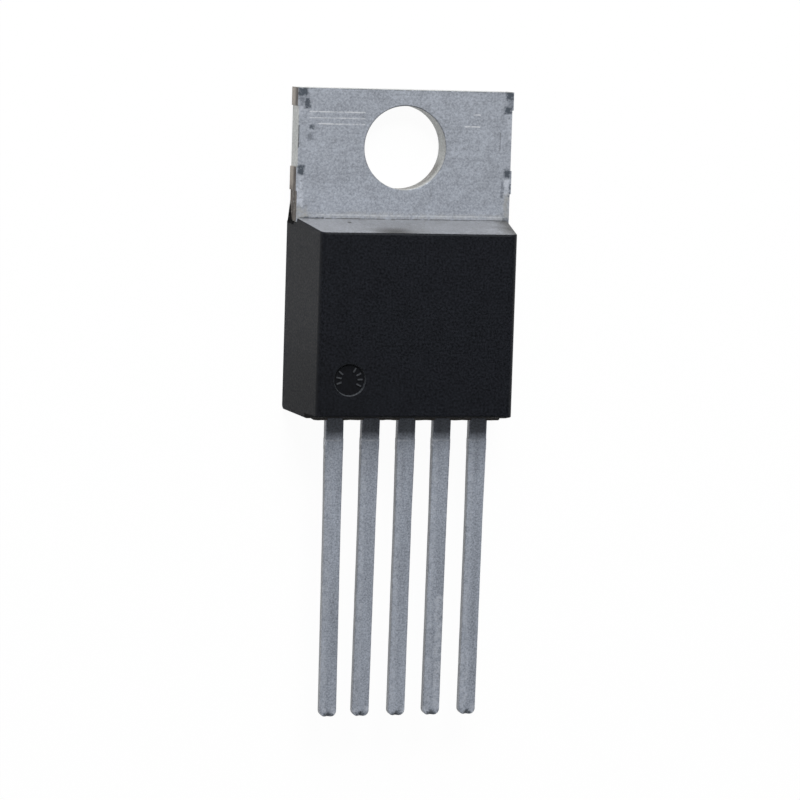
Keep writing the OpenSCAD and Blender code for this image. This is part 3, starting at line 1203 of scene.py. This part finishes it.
@dataclass
class OuterLead:
    """One of the four leads that aren't part of the header."""

    node: str
    number: int
    shape: LeadShape
    pad_width: float
    pad_top_y: float
    pad_length: float = 1.55
    pad_taper: float = 0.25

    def build(self) -> bpy.types.Object:
        """Builds the lead with its bonding pad inside the mould.

        Returns:
            The lead.
        """
        shape = self.shape
        pad_bottom = self.pad_top_y - self.pad_length
        rows = ((self.pad_top_y, self.pad_width), (pad_bottom, self.pad_width),
                (pad_bottom - self.pad_taper, shape.root_width))
        loops = [shape.section(self.number, y, width / 2, shape.back_z, shape.front_z)
                 for y, width in rows]
        loops += shape.free_sections(self.number)
        piece = finished(loft(loops), self.node + "_formed")
        return combined(piece, [shape.notch(self.number)], Join.CUT)


# The header: tab, plate under the mould and centre lead


@dataclass
class Header:
    """The tab, the plate that carries the chip and the centre lead, all one piece of copper."""

    shape: LeadShape
    half_width: float
    edge_y: float
    thickness: float
    proud: float = 0.05
    number: int = 2
    hole_radius: float = 1.93
    hole_roll: float = 0.05
    shoulder_y: float = -3.5
    length: float = 12.5
    shoulder_inset: float = 0.88
    undercut: float = 0.3
    back_thickness: float = 0.5
    front_roll: float = 0.03
    back_roll: float = 0.02
    corner_radius: float = 0.09
    upper_tie: Point = (1.83, 2.67)
    lower_tie: Point = (-2.05, -0.97)
    groove_y: float = -4.06
    groove_width: float = 0.32
    groove_depth: float = 0.14
    joggle_start: float = 0.25
    joggle_length: float = 1.5
    root_width: float = 1.1
    spokes: int = 240

    @property
    def end_y(self) -> float:
        """Y of the plate's lower edge."""
        return self.edge_y - self.length

    def directions(self) -> list[float]:
        """Angles of the spokes from the hole's axis.

        Returns:
            The angles in order, with more of them at the tab's corners.
        """
        angles = {2 * math.pi * k / self.spokes for k in range(self.spokes)}
        for x in (-self.half_width, self.half_width):
            for y in (self.shoulder_y, self.edge_y):
                corner = math.atan2(y, x) % (2 * math.pi)
                near = range(-CORNER_SPOKES, CORNER_SPOKES + 1)
                angles |= {corner + self.corner_spread * k for k in near}
        return sorted(angles)

    @property
    def corner_spread(self) -> float:
        """Angle between the close spokes at a corner."""
        return self.corner_radius / math.hypot(self.half_width, self.edge_y) / CORNER_SPOKES

    def rim(self, angle: float, inset: float) -> Point:
        """Where a spoke meets the tab's outline.

        Args:
            angle: The spoke's angle.
            inset: How far the outline is drawn in.

        Returns:
            The meeting point.
        """
        along = (math.cos(angle), math.sin(angle))
        reach = self.half_width - inset
        high, low = self.edge_y - inset, self.shoulder_y + inset
        limits = [reach / abs(along[0]) if abs(along[0]) > TINY else math.inf]
        limits.append((high if along[1] > 0 else low) / along[1] if abs(along[1]) > TINY else math.inf)
        distance = min(limits)
        radius = max(LEAST_RADIUS, self.corner_radius - inset)
        x, y = distance * along[0], distance * along[1]
        centre_x = math.copysign(reach - radius, along[0])
        centre_y = high - radius if along[1] > 0 else low + radius
        outside_x = abs(x) > reach - radius
        outside_y = y > centre_y if along[1] > 0 else y < centre_y
        if outside_x and outside_y:
            across = along[0] * centre_x + along[1] * centre_y
            gap = centre_x**2 + centre_y**2 - across**2
            distance = across + math.sqrt(max(0.0, radius**2 - gap))
            x, y = distance * along[0], distance * along[1]
        return (x, y)

    def tab(self) -> bpy.types.Object:
        """The tab with its hole, both with the edges that the punch rolled.

        Returns:
            The tab.
        """
        top = self.thickness
        angles = self.directions()
        turns = [math.pi / 2 * k / ROLL_STEPS for k in range(ROLL_STEPS + 1)]
        loops = []

        def circle(radius: float, z: float) -> None:
            """Adds a loop round the hole."""
            loops.append([Vector((radius * math.cos(a), radius * math.sin(a), z)) for a in angles])

        def outline(inset: float, z: float) -> None:
            """Adds a loop round the tab."""
            loops.append([Vector((*self.rim(a, inset), z)) for a in angles])

        circle(self.hole_radius, 0.0)
        for turn in turns:
            circle(self.hole_radius + self.hole_roll * (1 - math.cos(turn)),
                   top - self.hole_roll * (1 - math.sin(turn)))
        for turn in reversed(turns):
            outline(self.front_roll * (1 - math.cos(turn)), top - self.front_roll * (1 - math.sin(turn)))
        outline(0.0, self.back_roll)
        outline(self.back_roll, 0.0)
        return finished(loft(loops, closed=True), "header")

    def ties(self) -> list[bpy.types.Object]:
        """The sheared stubs on both sides of the tab.

        Returns:
            The stubs.
        """
        made = []
        for side in Side:
            for low, high in (self.upper_tie, self.lower_tie):
                inner = side.value * (self.half_width - self.front_roll)
                outer = side.value * (self.half_width + self.proud)
                stub = block((min(inner, outer), low, 0.0),
                             (max(inner, outer), high, self.thickness - STUB_DIP))
                made.append(finished(stub, f"stub_{side.name}_{high}"))
        return made

    def plate(self) -> list[bpy.types.Object]:
        """The narrower plate under the mould.

        Returns:
            Its back and its wider front.
        """
        front_half = self.half_width - self.shoulder_inset
        back_half = front_half - self.undercut
        return [
            finished(block((-back_half, self.end_y, 0.0),
                           (back_half, self.shoulder_y + LAP, self.thickness)), "plate_back"),
            finished(block((-front_half, self.end_y, self.back_thickness),
                           (front_half, self.shoulder_y + LAP, self.thickness)), "plate_front"),
        ]

    def groove(self) -> bpy.types.Object:
        """The groove across the plate's front, which the epoxy keys into.

        Returns:
            The solid to cut out.
        """
        half = self.groove_width / 2
        floor = self.thickness - self.groove_depth
        bar = block((-self.half_width, self.groove_y - half, floor),
                    (self.half_width, self.groove_y + half, self.thickness + LAP))
        return finished(bar, "groove")

    def centre_lead(self) -> bpy.types.Object:
        """The centre lead, which slopes down to the plate.

        Returns:
            The lead.
        """
        shape = self.shape
        start = self.end_y - self.joggle_start
        low = self.thickness - shape.thickness
        rows = ((self.end_y + LAP, low, self.root_width), (start, low, self.root_width),
                (start - self.joggle_length, shape.back_z, shape.root_width))
        loops = [shape.section(self.number, y, width / 2, back, back + shape.thickness)
                 for y, back, width in rows]
        loops += shape.free_sections(self.number)
        return finished(loft(loops), "centre_lead")

    def build(self) -> bpy.types.Object:
        """Builds the header.

        Returns:
            The header as one piece.
        """
        piece = self.tab()
        combined(piece, [*self.ties(), *self.plate(), self.centre_lead()], Join.ADD)
        return combined(piece, [self.groove(), self.shape.notch(self.number)], Join.CUT)

    def finish_number(self, face: bpy.types.MeshPolygon) -> int:
        """Number of a face's finish: the tab's, or the leads' below the body."""
        return int(face.center.y * PER_METRE < self.shape.body_bottom_y)

    def marks(self) -> Marks:
        """Marks on the tab, placed from the photograph.

        Returns:
            Scratches beside the hole, dark corners and edges, copper where the ties were cut, and
            painted shade on the hole's lower wall and round its rim.
        """
        face, middle = self.thickness, self.thickness / 2
        copper = [Patch((side.value * 5.15, y, middle), (0.075, reach, 0.7), 0.02, strength)
                  for side in Side for y, reach, strength in ((2.25, 0.42, 0.9), (-2.3, 1.33, 1.0))]
        # Rows hold X, Y, half width, half height, softness and strength
        return Marks({
            Mark.STREAK: on_face(face, 0.1, [
                (-3.265, 1.59, 1.30, 0.012, 0.03, 1.2),
                (-3.26, 1.31, 1.30, 0.010, 0.03, 0.9),
                (-3.06, 1.04, 1.10, 0.012, 0.03, 1.1),
                (3.39, 1.59, 0.14, 0.014, 0.03, 1.5),
                (3.17, 1.04, 0.36, 0.014, 0.03, 1.4),
                (0.3, -3.13, 4.4, 0.012, 0.05, 0.6),
            ]),
            Mark.SMEAR: on_face(face, 0.2, [
                (-4.91, 2.51, 0.11, 0.10, 0.20, 1.5),
                (-4.95, 2.02, 0.04, 0.14, 0.16, 0.7),
                (-4.68, 1.95, 0.05, 0.16, 0.20, 1.2),
                (-4.91, -1.10, 0.07, 0.11, 0.18, 1.4),
                (4.94, 2.48, 0.10, 0.10, 0.18, 1.4),
                (4.97, 2.14, 0.08, 0.25, 0.12, 0.6),
                (4.88, 1.84, 0.08, 0.08, 0.18, 1.3),
                (4.92, -1.08, 0.06, 0.10, 0.20, 1.2),
                (4.70, -1.85, 0.03, 0.35, 0.07, 0.55),
                (5.06, -1.85, 0.02, 0.32, 0.04, 0.8),
                (-4.45, 0.88, 0.07, 0.09, 0.08, 1.0),
                (-4.50, 0.42, 0.10, 0.10, 0.12, 0.5),
                (-4.35, -3.32, 0.5, 0.05, 0.06, 0.9),
                (4.93, -3.26, 0.11, 0.09, 0.08, 0.6),
            ]),
            Mark.LINE: on_face(face, 0.1, [
                (0.0, 2.655, 5.0, 0.012, 0.03, 0.75),
                (0.0, -3.30, 4.9, 0.016, 0.03, 0.85),
                (4.53, 0.35, 0.010, 0.42, 0.03, 0.5),
                (-5.055, 0.45, 0.012, 0.50, 0.02, 0.9),
            ]),
            Mark.SCUFF_AND_HIGHLIGHT: on_face(face, 0.2, [
                (-4.75, 1.75, 0.22, 0.25, 0.2, 0.6),
                (-4.93, -1.98, 0.10, 0.72, 0.08, 0.75),
                (4.92, -1.70, 0.08, 0.3, 0.1, 0.8),
                (4.98, 1.2, 0.07, 0.7, 0.1, 0.5),
            ]),
            Mark.GRIME: on_face(face, 0.2, [
                (-4.85, -3.05, 0.20, 0.18, 0.2, 0.9),
                (4.94, -2.6, 0.07, 0.55, 0.12, 0.6),
                (0.0, -3.16, 5.0, 0.10, 0.12, 0.35),
            ]),
        # Painted shade on the hole's lower wall, and round its rim
        }, wall_shade=[Patch((0.7, -1.55, 0.2), (1.5, 0.65, 0.4), 0.6)], copper=copper,
            rims=[Rim(radius=1.955, width=0.035, level=face, strength=0.5)])


# The moulded body


@dataclass
class Mould:
    """The drafted block of epoxy, with its flash, its ejector mark and the pockets for the metal."""

    half_width: float
    depth: float
    bottom_y: float
    tab_thickness: float
    shape: LeadShape
    top_y: float = -3.31
    shoulder_y: float = -3.5
    top_draft: float = 7.2
    side_draft: float = 7.7
    bottom_draft: float = 8.5
    back_draft: float = 1.6
    edge_radius: float = 0.12
    side_edge_radius: float = 0.36
    back_edge_radius: float = 0.15
    corner_radius: float = 0.07
    lip_inset: float = 0.35
    lip_proud: float = 0.1
    lip_round: float = 0.06
    lip_wear: float = 0.05
    lip_waves: float = 1.7
    lip_place: float = 3.1
    tab_half_width: float = 5.08
    creep_length: float = 1.4
    creep_height: float = 0.75
    creep_proud: float = 0.11
    creep_lean: float = 0.02
    recess_radius: float = 0.75
    recess_depth: float = 0.12
    recess_floor_inset: float = 0.044
    recess_inset: float = 1.48
    recess_rise: float = 1.92
    tick_turns: tuple[float, ...] = (-28.0, 2.0, 30.0, 62.0, 142.0, 170.0, 198.0)
    tick_ring: float = 0.50
    tick_length: float = 0.24
    tick_width: float = 0.07
    tick_height: float = 0.04
    top_lean: float = 0.9

    def side(self, z: float) -> float:
        """Half width of the body.

        Args:
            z: The height.

        Returns:
            The half width there.
        """
        plain = self.half_width - z * math.tan(math.radians(self.side_draft))
        return plain - self.rolled(z, self.depth, self.side_edge_radius, self.side_draft)

    def top(self, z: float) -> float:
        """Place of the top face.

        Args:
            z: The height.

        Returns:
            The face's Y there.
        """
        rise = max(0.0, z - self.tab_thickness)
        plain = self.top_y - rise * math.tan(math.radians(self.top_draft))
        return plain - self.rolled(z, self.depth, self.edge_radius, self.top_draft)

    def bottom(self, z: float) -> float:
        """Place of the bottom face.

        Args:
            z: The height.

        Returns:
            The face's Y there.
        """
        parting = self.shape.front_z
        if z >= parting:
            plain = self.bottom_y + (z - parting) * math.tan(math.radians(self.bottom_draft))
            return plain + self.rolled(z, self.depth, self.edge_radius, self.bottom_draft)
        plain = self.bottom_y + (parting - z) * math.tan(math.radians(self.back_draft))
        return plain + self.rolled(self.depth - z, self.depth, self.back_edge_radius, self.back_draft)

    @staticmethod
    def rolled(z: float, end: float, radius: float, draft: float) -> float:
        """How far a rounded edge draws a drafted face in.

        Args:
            z: The height on the face.
            end: The height of the flat face that it meets.
            radius: The edge's radius.
            draft: The face's draft in degrees.

        Returns:
            The distance from the drafted plane.
        """
        lean = math.radians(draft)
        start = end - radius * (1 - math.sin(lean))
        if z <= start:
            return 0.0
        level = min(radius, z - (end - radius))
        arc = math.sqrt(radius**2 - level**2)
        plane = (radius - level * math.sin(lean)) / math.cos(lean)
        return plane - arc

    def levels(self) -> list[float]:
        """Heights of the block's rings.

        Returns:
            The heights in order, close together at the rounded edges.
        """
        marks = {0.0, self.tab_thickness, self.shape.back_z, self.shape.front_z, self.depth}
        for k in range(1, EDGE_STEPS):
            turn = math.pi / 2 * k / EDGE_STEPS
            marks.add(self.back_edge_radius * (1 - math.cos(turn)))
            marks.add(self.depth - self.edge_radius * (1 - math.cos(turn)))
            marks.add(self.depth - self.side_edge_radius * (1 - math.cos(turn)))
        return sorted(marks)

    def ring(self, z: float) -> Loop:
        """The block's outline, with slightly rounded corners.

        Args:
            z: The height.

        Returns:
            Its points, counted round the block.
        """
        half, top, bottom, radius = self.side(z), self.top(z), self.bottom(z), self.corner_radius
        points = []
        corners = ((half, top, 0), (-half, top, 90), (-half, bottom, 180), (half, bottom, 270))
        for x, y, start in corners:
            centre = Vector((x - math.copysign(radius, x), y + (radius if y == bottom else -radius)))
            for k in range(CORNER_STEPS + 1):
                turn = math.radians(start + 90 * k / CORNER_STEPS)
                points.append(Vector((centre.x + radius * math.cos(turn),
                                      centre.y + radius * math.sin(turn), z)))
        return points

    def lip(self) -> bpy.types.Object:
        """The thin flash along the leads, its ends worn round.

        Returns:
            The flash.
        """
        z0, z1 = self.shape.back_z, self.shape.front_z
        half = self.half_width - z1 * math.tan(math.radians(self.side_draft)) - self.lip_inset
        inside, outside = self.bottom_y + LAP, self.bottom_y - self.lip_proud
        outline = [(-half, inside), (-half, outside + self.lip_round)]
        for k in range(LIP_STEPS + 1):
            x = -half + self.lip_round + (2 * half - 2 * self.lip_round) * k / LIP_STEPS
            worn = self.lip_wear * noise.noise(Vector((x * self.lip_waves, self.lip_place, 0.0)))
            outline.append((x, outside + abs(worn)))
        outline += [(half, outside + self.lip_round), (half, inside)]
        return finished(prism(outline, z0, z1), "flash_lip")

    def creep(self, side: Side) -> bpy.types.Object:
        """The thin wedge of epoxy that crept up one side of the tab.

        Args:
            side: The side.

        Returns:
            The wedge.
        """
        foot = self.shoulder_y - LAP
        inner = self.tab_half_width - LAP / 2
        outer = self.tab_half_width + self.creep_proud
        tip = self.shoulder_y + self.creep_length
        rows = [[(inner, tip, 0.0), (inner, foot, 0.0), (outer, foot, 0.0)],
                [(inner, self.shoulder_y, self.creep_height), (inner, foot, self.creep_height),
                 (outer - self.creep_lean, foot, self.creep_height)]]
        loops = [[Vector((side.value * x, y, z)) for x, y, z in row] for row in rows]
        return finished(loft(loops), f"creep_{side.name}")

    @property
    def recess_centre(self) -> Point:
        """X and Y of the ejector pin's mark."""
        front_half = self.half_width - self.depth * math.tan(math.radians(self.side_draft))
        return (self.recess_inset - front_half, self.bottom_y + self.recess_rise)

    def recess(self) -> tuple[bpy.types.Object, list[bpy.types.Object]]:
        """The ejector pin's mark and the plain ticks round its floor.

        Returns:
            The solid to cut out, and the ticks to add.
        """
        x, y = self.recess_centre
        rows = ((self.recess_radius - self.recess_floor_inset, self.depth - self.recess_depth),
                (self.recess_radius, self.depth), (self.recess_radius, self.depth + PAST))
        turns = [2 * math.pi * k / RECESS_SIDES for k in range(RECESS_SIDES)]
        loops = [[Vector((x + r * math.cos(t), y + r * math.sin(t), z)) for t in turns]
                 for r, z in rows]
        pit = finished(loft(loops), "ejector_mark")
        ticks = []
        floor = self.depth - self.recess_depth
        for k, degrees in enumerate(self.tick_turns):
            turn = Matrix.Rotation(math.radians(degrees), 4, "Z")
            bar = block((self.tick_ring - self.tick_length / 2, -self.tick_width / 2, floor - LAP / 2),
                        (self.tick_ring + self.tick_length / 2, self.tick_width / 2,
                         floor + self.tick_height))
            bmesh.ops.transform(bar, matrix=Matrix.Translation((x, y, 0.0)) @ turn, verts=bar.verts)
            ticks.append(finished(bar, f"tick_{k}"))
        return pit, ticks

    def build(self, metal: Sequence[bpy.types.Object]) -> bpy.types.Object:
        """Builds the body round the metal.

        Args:
            metal: The header, the leads and what they carry, which all stay as they are.

        Returns:
            The moulded body.
        """
        piece = finished(loft([self.ring(z) for z in self.levels()]), "moulding")
        shoulder = block((-self.half_width - PAST, self.shoulder_y, -PAST),
                         (self.half_width + PAST, self.top_y + PAST, self.tab_thickness))
        combined(piece, [finished(shoulder, "shoulder_step")], Join.CUT)
        combined(piece, [self.lip(), *(self.creep(side) for side in Side)], Join.ADD)
        combined(piece, metal, Join.CUT, keep=True)
        pit, ticks = self.recess()
        combined(piece, [pit], Join.CUT)
        return combined(piece, ticks, Join.ADD)

    def skin(self, face: bpy.types.MeshPolygon) -> Skin:
        """Picks a face's finish.

        Args:
            face: The face.

        Returns:
            Its finish.
        """
        centre = face.center * PER_METRE
        above = centre.y > self.top(centre.z) - TOP_REACH and centre.z > self.tab_thickness
        if above and face.normal.y > self.top_lean:
            return Skin.TOP
        inside = math.dist((centre.x, centre.y), self.recess_centre) < self.recess_radius - TOP_REACH
        if inside and centre.z > self.depth - self.recess_depth + self.tick_height / 2:
            return Skin.TICK
        flat_lip = self.shape.back_z - TOP_REACH < centre.z < self.shape.front_z + TOP_REACH
        return Skin.FLASH if flat_lip and centre.y < self.bottom_y - TOP_REACH else Skin.PLAIN

    def finishes(self, effects: Effects) -> list[bpy.types.Material]:
        """The body's finishes, with their darker, rougher places from the photograph.

        Args:
            effects: The shared effects.

        Returns:
            Their materials, in the order of Skin.
        """
        plain_darkened = (
            # Painted shade on the ejector mark's sunken floor
            Patch((-3.11, -10.41, 4.37), (0.74, 0.74, 0.06), 0.03, 0.55),
            # Painted shade towards the bottom of the left side, which is rougher there too
            Patch((-5.0, -12.2, 2.0), (0.6, 0.3, 3.0), 5.0, 0.25),
            # Painted shade on the bottom face under the body, which is rougher so that it reflects less
            Patch((0.0, -12.25, 3.7), (5.3, 0.12, 0.8), 0.08),
            # A darker, rougher place on the left creep wedge
            Patch((-5.15, -3.1, 0.3), (0.1, 0.45, 0.5), 0.1),
        )
        top_darkened = (
            # Painted shade across the middle of the top face, deepest at its front edge
            Patch((-1.08, -3.75, 4.5), (0.08, 0.4, 0.5), 1.45),
            Patch((-0.65, -3.75, 3.9), (0.5, 0.4, 0.9), 1.5, 0.24),
            # A small darker spot on the top face
            Patch((-2.73, -3.45, 2.1), (0.05, 0.2, 0.12), 0.08),
            # Painted shade where the top face rounds off into the right side
            Patch((5.30, -3.5, 2.0), (0.4, 0.5, 0.9), 0.85),
            Patch((5.08, -3.5, 3.8), (0.4, 0.5, 0.9), 0.85),
        )
        looks = {Skin.PLAIN: (MOULD_PLAIN, plain_darkened), Skin.TOP: (MOULD_TOP, top_darkened),
                 Skin.TICK: (MOULD_TICK, ()), Skin.FLASH: (MOULD_FLASH, ())}
        return [EpoxyFinish(effects, *looks[skin]).material for skin in Skin]


# Studio


@dataclass(frozen=True)
class CameraPlace:
    """The camera that took the photograph, in the part's frame.

    Its place is in millimetres, its turn in degrees, and near and far are in metres.
    """

    position: Place = (-44.19, 7.543, 169.291)
    turn: Place = (-6.776, -14.569, 1.829)
    focal_pixels: float = 3767.0
    picture_pixels: float = 800.0
    sensor: float = 36.0
    near: float = 0.01
    far: float = 20.0

    def build(self) -> None:
        """Makes the camera."""
        data = bpy.data.cameras.new("camera")
        data.sensor_width = self.sensor
        data.lens = self.focal_pixels / self.picture_pixels * self.sensor
        data.clip_start = self.near
        data.clip_end = self.far
        camera = bpy.data.objects.new("camera", data)
        camera.location = Vector(self.position) * METRES
        camera.rotation_euler = [math.radians(angle) for angle in self.turn]
        bpy.context.scene.collection.objects.link(camera)
        bpy.context.scene.camera = camera


@dataclass(frozen=True)
class Softbox:
    """An area lamp that faces the part, in millimetres and watts."""

    name: str
    towards: Place
    distance: float
    width: float
    height: float
    power: float

    def build(self, target: Vector) -> None:
        """Makes the lamp.

        Args:
            target: The point that it faces, in metres.
        """
        data = bpy.data.lights.new(self.name, "AREA")
        data.shape = "RECTANGLE"
        data.size = self.width * METRES
        data.size_y = self.height * METRES
        data.energy = self.power
        lamp = bpy.data.objects.new(self.name, data)
        away = Vector(self.towards).normalized()
        lamp.location = target + away * self.distance * METRES
        lamp.rotation_euler = away.to_track_quat("Z", "Y").to_euler()
        bpy.context.scene.collection.objects.link(lamp)


@dataclass(frozen=True)
class Studio:
    """White table, white surround and two large lamps above the tab's end.

    The floor's side and its gap under the part are in metres.
    """

    floor_side: float = 6.0
    floor_gap: float = 0.00001
    floor_colour: Colour = (0.9, 0.9, 0.9)
    whiteness: float = 0.965
    sky: float = 0.10
    horizon: float = 0.85
    horizon_end: float = 0.16
    sky_start: float = 0.42
    aim: Place = (0.0, -8.0, 2.0)
    lamps: tuple[Softbox, ...] = (
        Softbox("key", (-0.04, 0.588, 0.809), distance=300.0, width=110.0, height=75.0, power=0.51),
        Softbox("overhead", (-0.04, 0.799, 0.602), distance=300.0, width=160.0, height=180.0,
                power=0.74),
    )

    def shown_mask(self, sheet: NodeSheet) -> Socket:
        """Rays that show the surround: seen directly, mirrored or through glass.

        Args:
            sheet: The sheet of the material.

        Returns:
            A mask that is one for them.
        """
        rays = sheet.add("LightPath").outputs
        seen = sheet.math("MAXIMUM", rays["Is Camera Ray"], rays["Is Glossy Ray"])
        return sheet.math("MAXIMUM", seen, rays["Is Transmission Ray"])

    def floor(self) -> None:
        """Makes the table, white where it is seen, with the part's shadow kept faint."""
        half = self.floor_side / 2
        bm = bmesh.new()
        corners = ((-half, -half), (half, -half), (half, half), (-half, half))
        bm.faces.new([bm.verts.new((x, y, -self.floor_gap)) for x, y in corners])
        mesh = bpy.data.meshes.new("table")
        bm.to_mesh(mesh)
        bm.free()
        table = bpy.data.objects.new("table", mesh)
        bpy.context.scene.collection.objects.link(table)
        material = bpy.data.materials.new("white_table")
        material.use_nodes = True
        material.node_tree.nodes.clear()
        sheet = NodeSheet(material.node_tree)
        matte = sheet.add("BsdfDiffuse", {"Color": opaque(self.floor_colour)}).outputs[0]
        glow = sheet.add("Emission", {"Color": opaque(WHITE), "Strength": 1.0}).outputs[0]
        share = sheet.math("MULTIPLY", self.shown_mask(sheet), self.whiteness)
        mixed = sheet.add("MixShader", {0: share, 1: matte, 2: glow}).outputs[0]
        sheet.add("OutputMaterial", {"Surface": mixed})
        table.data.materials.append(material)

    def surround(self) -> None:
        """Makes the world: pale near the horizon, dim above, and white where it is seen."""
        world = bpy.data.worlds.new("studio")
        bpy.context.scene.world = world
        world.use_nodes = True
        world.node_tree.nodes.clear()
        sheet = NodeSheet(world.node_tree)
        direction = sheet.add("TexCoord").outputs["Generated"]
        height = sheet.split(direction)["Z"]
        level = sheet.ramp(height, self.horizon_end, self.sky_start, self.horizon, self.sky)
        seen = sheet.add("LightPath").outputs["Is Camera Ray"]
        strength = sheet.math("MAXIMUM", level, seen)
        glow = sheet.add("Background", {"Color": opaque(WHITE), "Strength": strength})
        sheet.add("OutputWorld", {"Surface": glow.outputs[0]})

    def build(self) -> None:
        """Makes the studio."""
        self.floor()
        self.surround()
        for lamp in self.lamps:
            lamp.build(Vector(self.aim) * METRES)
        bpy.context.scene.view_settings.view_transform = "Standard"


# The whole part


def dressed_inside(effects: Effects) -> None:
    """Gives the sealed CAD nodes their finishes.

    Args:
        effects: The shared effects.
    """
    solder, chip, wire = (kind(effects).material for kind in (SolderFinish, ChipFinish, WireFinish))
    finishes = {"die_solder": (solder, Slot.SOLDER), "die": (chip, Slot.CHIP)}
    for name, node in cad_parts.items():
        if name.startswith("wire_"):
            finishes[name] = (wire, Slot.WIRE)
        if name in finishes:
            material, slot = finishes[name]
            node.data.materials.clear()
            node.data.materials.append(material)
            log.info("%s: %s", name, material.name)


def main() -> None:
    """Builds the part's pieces, dresses them and sets up the studio."""
    logging.basicConfig(level=logging.INFO, format="%(name)s: %(message)s")
    effects = Effects()
    header_box, mould_box, solder_box, first, second = (
        FrameBox.of(node) for node in ("tab_header", "mould_body", "die_solder", "lead_1", "lead_2"))
    bottom_y = mould_box.low.y + Mould.lip_proud
    shape = LeadShape(
        thickness=first.high.z - first.low.z, back_z=first.low.z, body_bottom_y=bottom_y,
        tip_y=first.low.y, spacing=second.centre.x - first.centre.x)
    header = Header(shape=shape, half_width=header_box.high.x - Header.proud,
                    edge_y=header_box.high.y, thickness=solder_box.low.z)
    leads = [
        OuterLead(f"lead_{number + 1}", number, shape, first.high.x - first.low.x, first.high.y)
        for number in range(len(shape.tip_drift)) if number != header.number
    ]
    mould = Mould(half_width=mould_box.high.x, depth=mould_box.high.z, bottom_y=bottom_y,
                  tab_thickness=solder_box.low.z, shape=shape)

    header_piece = header.build()
    lead_pieces = {lead.node: lead.build() for lead in leads}
    sealed = [node for name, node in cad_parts.items() if name.startswith(("die", "wire_"))]
    mould_piece = mould.build([header_piece, *lead_pieces.values(), *sealed])
    for piece in (header_piece, mould_piece, *lead_pieces.values()):
        shaded(piece)

    tab_finish = TinFinish(effects, TAB_TIN, header.marks()).material
    lead_finish = TinFinish(effects, LEAD_TIN, shape.marks()).material
    seated(header_piece, (tab_finish, lead_finish), ["tab_header"], header.finish_number)
    for node, piece in lead_pieces.items():
        seated(piece, (lead_finish,), [node])
    seated(mould_piece, mould.finishes(effects), ["mould_body"], mould.skin)
    dressed_inside(effects)
    CameraPlace().build()
    Studio().build()


if __name__ == "__main__":
    main()
